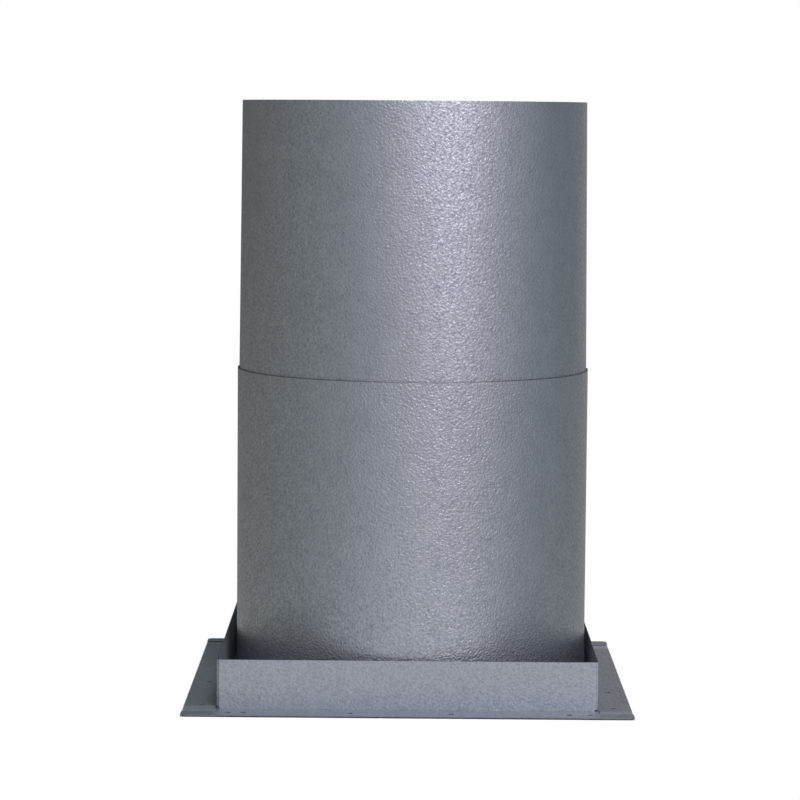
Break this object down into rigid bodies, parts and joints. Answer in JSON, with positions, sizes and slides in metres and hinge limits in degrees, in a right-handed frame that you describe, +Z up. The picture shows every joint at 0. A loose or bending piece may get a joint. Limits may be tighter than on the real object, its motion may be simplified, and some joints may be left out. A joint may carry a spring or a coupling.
{
  "type": "firestop radiation shield",
  "caption": "Galvanised firestop radiation shield for a chimney: square nailing-flange base with an upstanding collar and a telescoping round sleeve that keeps joists clear of the pipe.",
  "frame": {"origin": "centre of the square base at the surface that it stands on", "axes": "+Z up along the sleeves, -Y towards the front of the base"},
  "size_m": [0.356, 0.356, 0.481],
  "materials": {
    "base_zinc": "satin zinc coating with a fine pebbled grain",
    "plate_zinc": "satin zinc coating",
    "sleeve_zinc": "satin zinc coating with a fine pebbled grain"
  },
  "bodies": {
    "base": {"base_front_angle": "base_zinc", "base_right_angle": "base_zinc", "base_back_angle": "base_zinc", "base_left_angle": "base_zinc", "firestop_plate": "plate_zinc", "lower_sleeve": "sleeve_zinc"},
    "extension": {"upper_sleeve": "sleeve_zinc"}
  },
  "joints": [
    {"name": "height_slide", "type": "slide", "parent": "base", "child": "extension", "axis": [0, 0, 1], "range_m": [-0.218, 0.015]}
  ]
}
